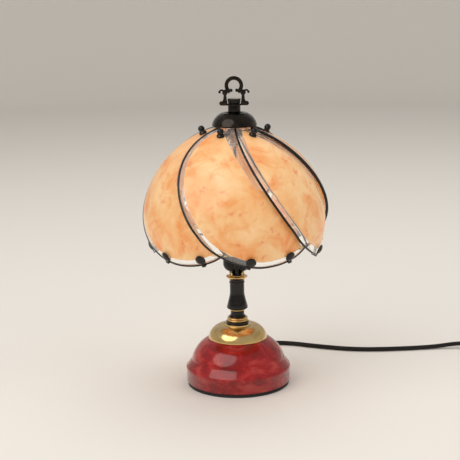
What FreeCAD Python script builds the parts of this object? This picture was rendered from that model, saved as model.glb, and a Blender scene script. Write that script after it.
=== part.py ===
import FreeCAD, Part
import math
import os
from FreeCAD import Base, Vector

# Rotating motion lamp. A dome base carries a turned column, a lampholder and a harp.
# Six swirl glass panels hang from a crown that turns on the harp's stud.
# Lengths are in millimetres and angles in degrees. The origin is the middle of the base's underside.
# A bearing is measured from the front, -Y, towards the right, +X.

# Fits and seats
running_fit = 0.05
bore_gap = 0.2
seat_gap = 0.3

# Base
skirt_radius = 56.5
skirt_height = 13.5
bead_height = 4.0
bead_bulge = 0.5
dome_foot_radius = 51.5
dome_height = 30.0
dome_bulge = 5.5
shell_wall = 1.6
foot_height = 4.0
foot_width = 8.0
foot_inset = 1.0
foot_chamfer = 0.6
cover_thickness = 1.2
weight_radius = 43.0
weight_height = 12.0
washer_thickness = 0.8
washer_radius = 9.0
nut_height = 2.4
nut_flats = 14.0

# Brass cap over the dome
cap_rim_radius = 32.0
cap_top_radius = 15.0
cap_height = 14.5
cap_bulge = 4.5
cap_wall = 1.0
cap_flange_height = 1.5

# Column pieces, from the cap upwards
tube_radius = 5.0
tube_bore_radius = 3.5
band_radius = 12.3
band_height = 2.5
ring_radius = 11.5
ring_height = 4.5
ring_bead = 1.1
spool_radius = 7.4
spool_foot_radius = 9.2
spool_height = 7.0
collar_radius = 8.6
collar_height = 2.5
column_radius = 7.2
column_foot_radius = 11.0
column_head_radius = 8.6
column_height = 33.0
column_foot_height = 2.0
column_flare_height = 12.5
column_ring_drop = 9.5
column_ring_height = 2.0
column_ring_radius = 8.1
dish_radius = 11.5
dish_height = 3.5
gallery_radius = 8.2
gallery_height = 4.0
gallery_slots = 12
gallery_slot_width = 2.2
gallery_slot_depth = 1.2

# Lampholder and bulb
holder_radius = 14.5
holder_foot_radius = 7.0
holder_wall = 1.0
holder_cup_height = 10.0
holder_shell_height = 22.0
holder_flutes = 24
flute_depth = 0.5
insert_floor = 5.0
screw_shell_radius = 7.9
screw_shell_wall = 0.6
contact_radius = 2.5
lock_ring_radius = 15.8
lock_ring_height = 5.0
bulb_cap_radius = 6.9
bulb_cap_height = 19.0
bulb_radius = 12.5
bulb_neck_radius = 7.4
bulb_neck_height = 12.0
bulb_height = 66.0

# Harp
saddle_thickness = 1.5
saddle_width = 10.0
saddle_margin = 1.0
harp_wire = 3.0
harp_foot_reach = 18.5
harp_foot_height = 14.0
harp_reach = 35.0
harp_top_reach = 9.0
harp_belly_rise = 41.0
harp_shoulder_drop = 38.0
harp_shoulder_inset = 1.0
ferrule_wall = 1.0
ferrule_height = 13.0
plate_radius = 8.0
plate_thickness = 1.5
stud_radius = 3.0
stud_height = 18.4

# Crown
hub_radius = 5.0
hub_flange_radius = 10.0
hub_flange_height = 3.0
hub_barrel_height = 7.9
spider_radius = 17.5
spider_thickness = 1.4
spider_arm_width = 8.0
spider_pad_reach = 5.0
spider_drop = 4.0
hub_nut_flats = 15.0
hub_nut_height = 3.2
rod_radius = 3.0
crown_rim_radius = 23.6
crown_rim_gap = 1.2
crown_height = 14.0
crown_shoulder_radius = 13.0
crown_wall = 1.0
neck_radius = 6.6
neck_height = 9.0
cup_radius = 7.1
cup_foot_radius = 6.2
cup_height = 5.5
cup_flutes = 12

# Loop finial
finial_thickness = 3.6
finial_collar_height = 1.6
finial_ring_radius = 9.8
finial_ring_width = 3.9
finial_ring_rise = 20.8
finial_ring_gap = 62.0
finial_post_reach = 9.5
finial_post_width = 3.6
finial_foot_reach = 15.6
finial_foot_height = 4.4
finial_scroll_reach = 12.9
finial_scroll_rise = 13.6
finial_scroll_radius = 3.3

# Swirl glass shade
panel_count = 6
glass_thickness = 2.5
shade_radius = 99.5
shade_half_height = 98.0
shade_belly = 187.0
shade_fullness = 1.9
panel_span = 67.0
panel_overlap_step = 5.0
panel_top_turn = 12.6
lead_start = -58.0
lead_start_turn = 19.7
lead_slope = 0.233
lead_bend = 0.003225
corner_width = 0.38
corner_height = 19.3
belly_turn = 96.0
hem_sweep = 47.0

# Edging, a channel round each panel
edging_lip = 1.5
edging_back = 0.8
edging_wall = 0.5
glazing_gap = 0.25

# Fixings at the panels' tops
fixing_place = 0.47
fixing_turn = 21.2
fixing_shank_radius = 1.5
fixing_hole_radius = 2.5
fixing_washer_radius = 4.4
fixing_washer_thickness = 1.0
fixing_head_radius = 3.2
fixing_head_height = 1.6
knob_radius = 3.5
knob_foot_radius = 4.2
knob_height = 9.0
knob_foot_height = 1.4
knob_waist_radius = 2.8
knob_waist_height = 3.0
knob_shoulder_height = 4.6
knob_bore_depth = 5.0

# Clips at the panels' hems, and the ring that ties them
clip_places = (0.225, 0.68)
clip_button_radius = 5.3
clip_button_rise = 7.0
clip_button_thickness = 2.8
clip_neck_width = 3.8
clip_strip = 0.8
tie_ring_turn = 106.5
tie_ring_inset = 11.2
tie_ring_height = 3.0
tie_ring_thickness = 1.2

# Cord
cord_diameter = 5.0
gland_radius = 5.3
gland_flange_radius = 6.1
gland_height = 11.5
gland_flange_thickness = 1.6
gland_tip_wall = 0.9
lead_diameter = 2.2
lead_spacing = 2.5
lead_hole_height = 26.0
cord_to_switch = [
    (0, 78, 11.5), (0, 94, 11.5), (6, 114, 6.8), (26, 132, 2.9), (59, 134, 2.7), (97, 116, 2.7),
    (141, 101, 2.7), (190, 101, 2.7), (236, 107, 2.7), (260, 108, 6.0), (277, 108, 6.0),
]
switch_length = 56.0
switch_width = 22.0
switch_height = 16.0
switch_mouth = 6.0
rocker_length = 17.0
rocker_width = 10.0
rocker_rise = 2.4
rocker_pin_radius = 1.0
rocker_pin_reach = 1.6
rocker_pin_drop = 1.8
cord_after_switch = [(19, 0, 0), (35.5, -9.5, -0.9), (45, -26, -2.2), (45, -45, -2.2)]
coil_layers = 4
coil_pitch = 5.75
coil_turns_in_layer = 2
coil_last_turns = 1.25
coil_change_turns = 0.25
coil_middle_radius = 27.0
cord_tail = [(0, -10, 0), (0.6, -27, -1.6), (1.6, -45, -11.0), (1.6, -58, -13.4), (1.6, -70, -13.4)]
tie_width = 8.0
tie_thickness = 1.0
plug_length = 34.0
plug_width = 26.0
plug_height = 15.0
plug_pin_radius = 2.0
plug_pin_length = 19.0
plug_pin_spacing = 18.6

# Heights worked out from the sizes above
cover_top = foot_height + cover_thickness
bead_bottom = foot_height + skirt_height
dome_bottom = bead_bottom + bead_height
dome_top = dome_bottom + dome_height
cap_top = dome_top + cap_height
band_bottom = cap_top + cap_flange_height
ring_bottom = band_bottom + band_height
spool_bottom = ring_bottom + ring_height
collar_bottom = spool_bottom + spool_height
column_bottom = collar_bottom + collar_height
dish_bottom = column_bottom + column_height
gallery_bottom = dish_bottom + dish_height
saddle_bottom = gallery_bottom + gallery_height
holder_bottom = saddle_bottom + saddle_thickness
shell_bottom = holder_bottom + holder_cup_height
shell_top = shell_bottom + holder_shell_height
harp_foot_top = saddle_bottom + harp_foot_height
bore_radius = tube_radius + bore_gap

# Every finished piece, by name
parts = {}


def keep(name, shape):
    parts[name] = shape


def bearing(radius, degrees_from_front, height):
    angle = math.radians(degrees_from_front)
    return Vector(radius * math.sin(angle), -radius * math.cos(angle), height)


def turned(outline):
    """Solid of revolution about the lamp's axis. A plain pair is a line's end, a pair of pairs is an arc."""
    spot = lambda pair: Vector(pair[0], 0, pair[1])
    edges = []
    here = spot(outline[0])
    for item in outline[1:] + [outline[0]]:
        if isinstance(item[0], tuple):
            there = spot(item[1])
            edges.append(Part.Arc(here, spot(item[0]), there).toShape())
        else:
            there = spot(item)
            edges.append(Part.makeLine(here, there))
        here = there
    face = Part.Face(Part.Wire(edges))
    return face.revolve(Vector(0, 0, 0), Vector(0, 0, 1), 360)


def bulged(start, end, bulge):
    """Arc from start to end that stands out from its chord by bulge, away from the axis."""
    middle = ((start[0] + end[0]) / 2, (start[1] + end[1]) / 2)
    along = (end[0] - start[0], end[1] - start[1])
    length = math.hypot(*along)
    return ((middle[0] + bulge * along[1] / length, middle[1] - bulge * along[0] / length), end)


def domed(radius, foot, top):
    """Round end on the axis: arc from the radius at foot to the axis at top, level where it ends."""
    rise = top - foot
    sphere = (radius * radius + rise * rise) / (2 * rise)
    half = math.asin(min(1, radius / sphere)) / 2
    return ((sphere * math.sin(half), top - sphere + sphere * math.cos(half)), (0, top))


def tube(outer, inner, bottom, height):
    return turned([(inner, bottom), (outer, bottom), (outer, bottom + height), (inner, bottom + height)])


def hexagon(flats, bottom, height):
    corner = flats / math.sqrt(3)
    points = [bearing(corner, 60 * k, bottom) for k in range(7)]
    return Part.Face(Part.makePolygon(points)).extrude(Vector(0, 0, height))


def star(points, outer, inner, height):
    """Closed zigzag outline with a given number of points."""
    corners = [bearing((outer, inner)[k % 2], 180 * k / points, height) for k in range(2 * points)]
    return Part.makePolygon(corners + corners[:1])


def spun(shape, degrees_from_front):
    """Turns a piece built at the front to another bearing."""
    copy = shape.copy()
    copy.rotate(Vector(0, 0, 0), Vector(0, 0, 1), degrees_from_front)
    return copy


# Base

def make_base():
    shoulder = (dome_foot_radius, dome_bottom)
    rim = (cap_rim_radius - cap_wall, dome_top)
    inner_skirt = skirt_radius - shell_wall
    inner_shoulder = (dome_foot_radius - shell_wall, dome_bottom - shell_wall)
    inner_rim = (rim[0] - shell_wall, dome_top - shell_wall)
    waist = bulged(shoulder, rim, dome_bulge)[0]
    inner_waist = (waist[0] - shell_wall, waist[1] - shell_wall)
    shell = turned([
        (inner_skirt, foot_height), (skirt_radius, foot_height), (skirt_radius, bead_bottom),
        (skirt_radius + bead_bulge, bead_bottom + bead_height / 4),
        (skirt_radius + bead_bulge, dome_bottom - bead_height / 4), (skirt_radius, dome_bottom), shoulder,
        bulged(shoulder, rim, dome_bulge), (bore_radius, dome_top),
        (bore_radius, dome_top - shell_wall), inner_rim,
        inner_waist, inner_shoulder, (inner_skirt, dome_bottom - shell_wall),
    ])
    rear_bore = Part.makeCylinder(
        gland_radius + bore_gap, skirt_radius, Vector(0, weight_radius, gland_height), Vector(0, 1, 0)
    )
    keep("base_shell", shell.cut(rear_bore))
    cover_radius = inner_skirt - bore_gap
    keep("base_cover", tube(cover_radius, bore_radius, foot_height, cover_thickness))
    foot_radius = skirt_radius - foot_inset
    foot = turned([
        (foot_radius - foot_width, 0), (foot_radius - foot_chamfer, 0), (foot_radius, foot_chamfer),
        (foot_radius, foot_height), (foot_radius - foot_width, foot_height),
    ])
    keep("foot_ring", foot)
    keep("base_weight", tube(weight_radius, bore_radius, cover_top, weight_height))
    washer_bottom = foot_height - washer_thickness
    washer = tube(washer_radius, bore_radius, washer_bottom, washer_thickness)
    nut = hexagon(nut_flats, washer_bottom - nut_height, nut_height)
    hole = Part.makeCylinder(tube_radius, nut_height, Vector(0, 0, washer_bottom - nut_height))
    keep("bottom_washer", washer)
    keep("bottom_nut", nut.cut(hole))


def make_dome_cap():
    foot = (cap_rim_radius, dome_top)
    head = (cap_top_radius, cap_top)
    waist = bulged(foot, head, cap_bulge)[0]
    keep("dome_cap", turned([
        foot, (waist, head), (cap_top_radius, band_bottom), (bore_radius, band_bottom),
        (bore_radius, cap_top - cap_wall), (cap_top_radius - cap_wall, cap_top - cap_wall),
        (waist[0] - cap_wall, waist[1] - cap_wall), (cap_rim_radius - cap_wall, dome_top),
    ]))


# Column

def make_column():
    keep("neck_band", tube(band_radius, bore_radius, band_bottom, band_height))
    bead = ring_height / 2
    core = ring_radius - ring_bead
    keep("brass_rings", turned([
        (bore_radius, ring_bottom), (core, ring_bottom),
        ((ring_radius, ring_bottom + bead / 2), (core, ring_bottom + bead)),
        ((ring_radius - 0.3, ring_bottom + 1.5 * bead), (core, spool_bottom)), (bore_radius, spool_bottom),
    ]))
    keep("column_spool", turned([
        (bore_radius, spool_bottom), (spool_foot_radius, spool_bottom), (spool_foot_radius, spool_bottom + 0.8),
        (spool_radius + 0.4, spool_bottom + 2.2), (spool_radius, spool_bottom + 4.2),
        (spool_radius, collar_bottom), (bore_radius, collar_bottom),
    ]))
    collar_core = collar_radius - ring_bead
    keep("brass_collar", turned([
        (bore_radius, collar_bottom), (collar_core, collar_bottom),
        (collar_radius, collar_bottom + collar_height / 3), (collar_radius, column_bottom - collar_height / 3),
        (collar_core, column_bottom), (bore_radius, column_bottom),
    ]))
    flare_foot = (column_foot_radius, column_bottom + column_foot_height)
    flare_head = (column_radius, flare_foot[1] + column_flare_height)
    ring_middle = dish_bottom - column_ring_drop + column_ring_height / 2
    neck_end = (column_radius, dish_bottom - 3)
    keep("column", turned([
        (bore_radius, column_bottom), (column_foot_radius, column_bottom), flare_foot,
        bulged(flare_foot, flare_head, -1.3), (column_radius, ring_middle - column_ring_height / 2),
        (column_ring_radius, ring_middle - column_ring_height / 4),
        (column_ring_radius, ring_middle + column_ring_height / 4),
        (column_radius, ring_middle + column_ring_height / 2),
        neck_end, (column_head_radius, dish_bottom), (bore_radius, dish_bottom),
    ]))
    lip = (dish_radius, gallery_bottom - 1.2)
    keep("brass_dish", turned([
        (bore_radius, dish_bottom), (column_head_radius, dish_bottom),
        lip, (dish_radius, gallery_bottom - 0.4),
        (gallery_radius + 0.8, gallery_bottom - 0.4), (gallery_radius + 0.4, gallery_bottom),
        (bore_radius, gallery_bottom),
    ]))
    gallery = tube(gallery_radius, bore_radius, gallery_bottom, gallery_height)
    slot = Part.makeBox(
        gallery_slot_width, 2 * gallery_slot_depth, gallery_height - 1.6,
        Vector(-gallery_slot_width / 2, -gallery_radius - gallery_slot_depth, gallery_bottom + 0.8),
    )
    slots = [spun(slot, 360 * k / gallery_slots) for k in range(gallery_slots)]
    keep("brass_gallery", gallery.cut(Part.makeCompound(slots)))
    tube_bottom = foot_height - washer_thickness - nut_height
    tube_top = holder_bottom + 4
    rod = tube(tube_radius, tube_bore_radius, tube_bottom, tube_top - tube_bottom)
    window = Part.makeBox(
        2 * lead_spacing, tube_radius, 5 * lead_diameter,
        Vector(-lead_spacing, 0, lead_hole_height - 2 * lead_diameter),
    )
    keep("threaded_tube", rod.cut(window))


# Lampholder and bulb

def make_lampholder():
    inner = holder_radius - holder_wall
    foot = (holder_foot_radius, holder_bottom)
    wall = (holder_radius, shell_bottom - 3)
    inner_wall = (inner, shell_bottom - 3)
    inner_foot = (holder_foot_radius - 0.4, holder_bottom + holder_wall)
    keep("lampholder_cup", turned([
        (tube_radius, holder_bottom), foot, bulged(foot, wall, 2.0), (holder_radius, shell_bottom),
        (inner, shell_bottom), inner_wall, (inner - 2, holder_bottom + 2.4), inner_foot,
        (tube_radius, holder_bottom + holder_wall),
    ]))
    outline = star(holder_flutes, holder_radius, holder_radius - flute_depth, shell_bottom)
    body = Part.Face(outline).extrude(Vector(0, 0, holder_shell_height))
    core = Part.makeCylinder(inner, holder_shell_height, Vector(0, 0, shell_bottom))
    keep("lampholder_shell", body.cut(core))
    ring_foot = shell_top - lock_ring_height + 1.3
    ring_head = ring_foot + lock_ring_height
    clear = holder_radius + bore_gap
    throat = screw_shell_radius + 2
    keep("lock_ring", turned([
        (clear, ring_foot), (lock_ring_radius, ring_foot), (lock_ring_radius, ring_head), (throat, ring_head),
        (throat, ring_head - holder_wall), (clear, ring_head - holder_wall),
    ]))
    insert_bottom = shell_bottom - 3
    insert_top = shell_top
    socket_bore = screw_shell_radius + 0.1
    keep("lampholder_insert", turned([
        (0, insert_bottom), (inner - bore_gap, insert_bottom), (inner - bore_gap, insert_top),
        (socket_bore, insert_top), (socket_bore, insert_bottom + insert_floor), (0, insert_bottom + insert_floor),
    ]))
    floor = insert_bottom + insert_floor
    shell_height = insert_top - floor - 1
    keep("screw_shell", tube(screw_shell_radius, screw_shell_radius - screw_shell_wall, floor, shell_height))
    keep("centre_contact", Part.makeCylinder(contact_radius, 1.4, Vector(0, 0, floor)))
    cap_foot = floor + 1.5
    cap_head = cap_foot + bulb_cap_height
    keep("bulb_cap", turned([
        (0, cap_foot), (2.4, cap_foot), (4.2, cap_foot + 1.6), (bulb_cap_radius, cap_foot + 3),
        (bulb_cap_radius, cap_head), (0, cap_head),
    ]))
    make_bulb_glass(cap_head)


def make_bulb_glass(bottom):
    """Tubular bulb with a narrower neck and a round end."""
    end = bottom + bulb_height
    keep("bulb_glass", turned([
        (0, bottom), (bulb_neck_radius, bottom), (bulb_radius, bottom + bulb_neck_height),
        (bulb_radius, end - bulb_radius), domed(bulb_radius, end - bulb_radius, end),
    ]))


# Harp

def rounded_path(points, share=0.45):
    """Wire through straight runs joined by tangent arcs, each as large as its runs allow, and its radii."""
    points = [Vector(*p) for p in points]
    edges = []
    radii = []
    here = points[0]
    for before, corner, after in zip(points, points[1:], points[2:]):
        into = corner - before
        out = after - corner
        run = share * min(into.Length, out.Length)
        turn = into.getAngle(out)
        start = corner - into.normalize() * run
        end = corner + out.normalize() * run
        radius = run / math.tan(turn / 2)
        inward = (out - into).normalize()
        middle = corner + inward * (radius / math.cos(turn / 2) - radius)
        edges.append(Part.makeLine(here, start))
        edges.append(Part.Arc(start, middle, end).toShape())
        radii.append(radius)
        here = end
    edges.append(Part.makeLine(here, points[-1]))
    return Part.Wire(edges), radii


def swept(wire, radius):
    """Round bar along a wire, as one unbroken skin."""
    start = wire.Edges[0].valueAt(wire.Edges[0].FirstParameter)
    along = wire.Edges[0].tangentAt(wire.Edges[0].FirstParameter)
    profile = Part.Wire(Part.makeCircle(radius, start, along))
    return wire.makePipeShell([profile], True, False)


def make_harp():
    wire = harp_wire / 2
    stud_bottom = hub_foot() - seat_gap
    stud_top = stud_bottom + stud_height
    plate_bottom = stud_bottom - plate_thickness
    harp_top = plate_bottom - wire
    half_bar = harp_foot_reach + wire + saddle_margin
    bar = Part.makeBox(
        saddle_width, 2 * half_bar, saddle_thickness, Vector(-saddle_width / 2, -half_bar, saddle_bottom)
    )
    bar = bar.cut(Part.makeCylinder(bore_radius, saddle_thickness, Vector(0, 0, saddle_bottom)))
    pins = [
        Part.makeCylinder(wire, harp_foot_height - saddle_thickness, Vector(0, side, holder_bottom))
        for side in (-harp_foot_reach, harp_foot_reach)
    ]
    keep("harp_saddle", bar.fuse(pins).removeSplitter())
    half = [
        (0, harp_foot_reach, harp_foot_top), (0, harp_foot_reach, harp_foot_top + ferrule_height),
        (0, harp_reach, harp_foot_top + harp_belly_rise),
        (0, harp_reach - harp_shoulder_inset, harp_top - harp_shoulder_drop), (0, harp_top_reach, harp_top),
    ]
    path = [(x, -y, z) for x, y, z in half] + half[::-1]
    bow, _ = rounded_path(path, 0.4)
    keep("harp_bow", swept(bow, wire))
    ferrule_bottom = harp_foot_top - ferrule_height / 2
    bored = tube(wire + ferrule_wall, wire + running_fit, ferrule_bottom, ferrule_height)
    ferrules = []
    for side in (-harp_foot_reach, harp_foot_reach):
        copy = bored.copy()
        copy.translate(Vector(0, side, 0))
        ferrules.append(copy)
    keep("harp_ferrules", Part.makeCompound(ferrules))
    stud = turned([
        (0, plate_bottom), (plate_radius, plate_bottom), (plate_radius, stud_bottom), (stud_radius, stud_bottom),
        (stud_radius, stud_top - 1), (stud_radius - 1, stud_top), (0, stud_top),
    ])
    keep("swivel_stud", stud)


# Crown

def make_crown():
    disc_top = spider_disc_top()
    disc_bottom = disc_top - spider_thickness
    flange_bottom = disc_bottom - hub_flange_height
    hub_bottom = hub_foot()
    hub_bore_top = hub_bottom + stud_height
    cap_flat = crown_rim_height() + crown_height - 1.4
    bore = stud_radius + running_fit
    rod_top = cap_flat + neck_height + finial_collar_height + cup_height - 1.5
    hub = turned([
        (bore, hub_bottom), (hub_radius, hub_bottom), (hub_radius, flange_bottom),
        (hub_flange_radius, flange_bottom), (hub_flange_radius, disc_bottom), (hub_radius, disc_bottom),
        (hub_radius, cap_flat - crown_wall), (rod_radius, cap_flat - crown_wall), (rod_radius, rod_top),
        (0, rod_top), (0, hub_bore_top), (bore, hub_bore_top),
    ])
    keep("crown_hub", hub)
    nut = hexagon(hub_nut_flats, disc_top, hub_nut_height)
    keep("hub_nut", nut.cut(Part.makeCylinder(hub_radius, hub_nut_height, Vector(0, 0, disc_top))))
    disc = tube(spider_radius, hub_radius, disc_bottom, spider_thickness)
    arms = [spun(spider_arm(disc_top), 360 * k / panel_count) for k in range(panel_count)]
    keep("crown_spider", disc.fuse(arms).removeSplitter())
    make_crown_cap(cap_flat)
    keep("cap_neck", tube(neck_radius, rod_radius, cap_flat, neck_height))
    make_finial(cap_flat + neck_height)
    cup_bottom = cap_flat + neck_height + finial_collar_height
    foot = star(cup_flutes, cup_foot_radius, cup_foot_radius - 0.7, cup_bottom)
    head = star(cup_flutes, cup_radius, cup_radius - 0.7, cup_bottom + cup_height)
    cup = Part.makeLoft([foot, head], True, True)
    rod = Part.makeCylinder(rod_radius, rod_top - cup_bottom, Vector(0, 0, cup_bottom))
    keep("fluted_cup", cup.cut(rod))


def hub_foot():
    """Height of the hub's lower end, just clear of the stud's collar."""
    return spider_disc_top() - spider_thickness - hub_flange_height - hub_barrel_height


def spider_disc_top():
    """The disc lies just under the arms' pads."""
    pad_inner, _ = fixing_frame()
    return pad_inner.z - fixing_stack() + spider_drop


def fixing_stack():
    """From the glass's outer skin down to the arm's upper side."""
    return glass_thickness + glazing_gap + fixing_washer_thickness


def fixing_frame():
    """Point on the first panel's skin at its fixing, and the skin's normal there."""
    here = skin(fixing_place, fixing_turn)
    across = skin(fixing_place + 0.01, fixing_turn) - here
    down = skin(fixing_place, fixing_turn + 0.1) - here
    return here, down.cross(across).normalize()


def spider_arm(disc_top):
    """Arm from the disc to a flat pad under the first panel's fixing."""
    here, normal = fixing_frame()
    seat = here - normal * fixing_stack()
    inward = Vector(-here.x, -here.y, 0)
    inward = (inward - normal * inward.dot(normal)).normalize()
    side = normal.cross(inward).normalize() * (spider_arm_width / 2)
    thick = normal * -spider_thickness
    far = seat - inward * spider_pad_reach
    near = seat + inward * spider_pad_reach
    level = Vector(-here.x, -here.y, 0).normalize()
    flat_side = Vector(0, 0, 1).cross(level).normalize() * (spider_arm_width / 2)
    root = Vector(0, 0, disc_top) - level * (spider_radius - 3)
    drop = Vector(0, 0, -spider_thickness)
    pad = four_sided(far, side, thick, near, side, thick)
    bridge = four_sided(near, side, thick, root, flat_side, drop)
    hole = Part.makeCylinder(fixing_shank_radius + bore_gap, 4 * spider_thickness, seat - normal * 4, normal)
    return pad.fuse(bridge).cut(hole)


def four_sided(start, start_side, start_down, end, end_side, end_down):
    """Straight bar between two four-sided ends, each given by its top's middle, half width and depth."""
    ends = []
    for middle, side, down in ((start, start_side, start_down), (end, end_side, end_down)):
        corners = [middle - side, middle + side, middle + side + down, middle - side + down]
        ends.append(Part.makePolygon(corners + corners[:1]))
    return Part.makeLoft(ends, True, True)


def crown_rim_height():
    """The rim stands just clear of the glass."""
    turn = math.degrees(math.asin((crown_rim_radius / shade_radius) ** (shade_fullness / 2)))
    return meridian(turn)[1] + edging_wall + crown_rim_gap


def make_crown_cap(cap_flat):
    rim = crown_rim_height()
    shoulder = (crown_shoulder_radius, rim + crown_height)
    start = (crown_rim_radius, rim + 2.2)
    inner_start = (crown_rim_radius - crown_wall, rim + 2.2)
    inner_shoulder = (crown_shoulder_radius, rim + crown_height - crown_wall)
    waist = bulged(start, shoulder, 1.9)[0]
    inner_waist = (waist[0] - crown_wall, waist[1] - crown_wall)
    dip = (neck_radius + 2, cap_flat)
    keep("crown_cap", turned([
        (crown_rim_radius - crown_wall, rim), (crown_rim_radius, rim),
        (crown_rim_radius + 0.4, rim + 1.1), start, bulged(start, shoulder, 1.9),
        bulged(shoulder, dip, 0.5), (rod_radius, cap_flat), (rod_radius, cap_flat - crown_wall),
        (neck_radius + 1.6, cap_flat - crown_wall), inner_shoulder, inner_waist, inner_start,
    ]))


# Loop finial

def flat_ring(x, z, outer, inner, first, last):
    """Sector of a flat ring in the plane of the loop, from one angle to another, measured from +X to up."""
    spot = lambda radius, angle: Vector(
        x + radius * math.cos(math.radians(angle)), 0, z + radius * math.sin(math.radians(angle))
    )
    middle = (first + last) / 2
    outer_arc = Part.Arc(spot(outer, first), spot(outer, middle), spot(outer, last)).toShape()
    inner_arc = Part.Arc(spot(inner, last), spot(inner, middle), spot(inner, first)).toShape()
    ends = [Part.makeLine(spot(outer, last), spot(inner, last)), Part.makeLine(spot(inner, first), spot(outer, first))]
    return Part.Wire([outer_arc, ends[0], inner_arc, ends[1]])


def plate_of(wire, thickness):
    face = Part.Face(wire)
    face.translate(Vector(0, -thickness / 2, 0))
    return face.extrude(Vector(0, thickness, 0))


def peg(x, z, radius, thickness):
    return Part.makeCylinder(radius, thickness, Vector(x, -thickness / 2, z), Vector(0, 1, 0))


def make_finial(bottom):
    """Lyre loop: a collar, two feet, two posts, outward scrolls and a horseshoe ring over them."""
    thick = finial_thickness
    ring_z = bottom + finial_ring_rise
    scroll_z = bottom + finial_scroll_rise
    half_gap = finial_ring_gap / 2
    ring = flat_ring(
        0, ring_z, finial_ring_radius, finial_ring_radius - finial_ring_width, -90 + half_gap, 270 - half_gap
    )
    pieces = [tube(cup_foot_radius + 1.4, rod_radius, bottom, finial_collar_height), plate_of(ring, thick)]
    for side in (-1, 1):
        foot_top = bottom + finial_foot_height
        inner = finial_post_reach - finial_post_width / 2
        outer = finial_post_reach + finial_post_width / 2
        waist = finial_post_width / 2 - 0.5
        post = Part.makePolygon([
            Vector(side * x, 0, z) for x, z in (
                (inner - 0.6, foot_top - 1), (outer + 1.4, foot_top - 1), (outer, foot_top + 2.2),
                (finial_post_reach + waist, scroll_z), (finial_post_reach - waist, scroll_z),
                (inner, foot_top + 2.2), (inner - 0.6, foot_top - 1),
            )
        ])
        foot_end = finial_foot_reach - finial_foot_height / 2
        foot = Part.makePolygon([
            Vector(side * x, 0, z) for x, z in (
                (cup_foot_radius, bottom), (foot_end, bottom), (foot_end, foot_top),
                (cup_radius + 0.3, foot_top), (cup_foot_radius + 0.7, bottom + finial_collar_height),
                (cup_foot_radius, bottom + finial_collar_height), (cup_foot_radius, bottom),
            )
        ])
        first, last = (15, 150) if side > 0 else (30, 165)
        scroll = flat_ring(side * finial_scroll_reach, scroll_z, finial_scroll_radius, finial_scroll_radius - 1.8,
                           first, last)
        end_angle = math.radians(15)
        tip_x = side * (finial_scroll_reach + (finial_scroll_radius - 0.9) * math.cos(end_angle))
        nub_angle = math.radians(-90 + half_gap)
        nub_reach = finial_ring_radius - finial_ring_width
        pieces += [
            plate_of(post, thick),
            plate_of(foot, thick + 0.8),
            peg(side * foot_end, bottom + finial_foot_height / 2, finial_foot_height / 2, thick + 0.8),
            peg(side * finial_post_reach, scroll_z, 2.9, thick + 0.4),
            plate_of(scroll, thick - 0.6),
            peg(tip_x, scroll_z + 0.4, 1.3, thick - 0.6),
            peg(side * nub_reach * math.cos(nub_angle), ring_z + nub_reach * math.sin(nub_angle), 1.7, thick + 0.4),
        ]
    keep("loop_finial", pieces[0].fuse(pieces[1:]).removeSplitter())


# Swirl glass shade

def meridian(turn, depth=0.0):
    """Radius and height on the shade's outer skin, or beneath it, a turn down from its top."""
    across = math.sin(math.radians(turn))
    down = math.cos(math.radians(turn))
    share_r = abs(across) ** (2 / shade_fullness)
    share_z = math.copysign(abs(down) ** (2 / shade_fullness), down)
    slope_r = share_r ** (shade_fullness - 1) / shade_radius
    slope_z = math.copysign(abs(share_z) ** (shade_fullness - 1), share_z) / shade_half_height
    length = math.hypot(slope_r, slope_z)
    radius = shade_radius * share_r + depth * slope_r / length
    height = shade_belly + shade_half_height * share_z + depth * slope_z / length
    return radius, height


def lead(turn):
    """Bearing of a panel's leading edge, which sweeps round as it comes down."""
    step = turn - lead_start_turn
    return lead_start + lead_slope * step + lead_bend * step * step


def skin(place, turn, depth=0.0):
    """Point of a panel: place runs from its leading edge, 0, to its trailing edge, 1, which lies deeper."""
    radius, height = meridian(turn, depth - panel_overlap_step * place)
    return bearing(radius, lead(turn) + place * panel_span, height)


def meridian_frame(place, turn, depth=0.0):
    """Point of the front meridian at a panel's place, and the way out of the glass there."""
    low = meridian(turn, depth - panel_overlap_step * place)
    high = meridian(turn, depth - panel_overlap_step * place + 1)
    return Vector(0, -low[0], low[1]), Vector(0, low[0] - high[0], high[1] - low[1])


def glass_surface(depth):
    places = [-0.05 + 1.1 * k / 6 for k in range(7)]
    turns = [panel_top_turn - 3 + 112 * k / 11 for k in range(12)]
    rows = []
    for turn in turns:
        row = Part.BSplineCurve()
        row.interpolate(Points=[skin(place, turn, depth) for place in places], Parameters=places)
        rows.append(row)
    columns = []
    for k in range(len(rows[0].getPoles())):
        column = Part.BSplineCurve()
        column.interpolate(Points=[row.getPole(k + 1) for row in rows], Parameters=turns)
        columns.append(column)
    surface = Part.BSplineSurface()
    surface.buildFromPolesMultsKnots(
        [column.getPoles() for column in columns],
        rows[0].getMultiplicities(), columns[0].getMultiplicities(),
        rows[0].getKnots(), columns[0].getKnots(), False, False, rows[0].Degree, columns[0].Degree,
    )
    return surface


def hem(step):
    """Place and turn along the leading edge's lower corner, steps 0 to 1, and the hem, steps 1 to 2."""
    if step < 1:
        place = corner_width * (1 - math.cos(math.pi * step / 2))
    else:
        place = corner_width + (1 - corner_width) * (step - 1)
    return place, hem_turn(place)


def hem_turn(place):
    """Turn of the panel's lower border at a place: a rounded corner, then a sweep that rises."""
    if place > corner_width:
        fall = 1 - math.sqrt(1 - (place - corner_width) ** 2)
        return belly_turn + corner_height - hem_sweep * fall
    share = (corner_width - place) / corner_width
    return belly_turn + corner_height * math.sqrt(1 - share * share)


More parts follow.
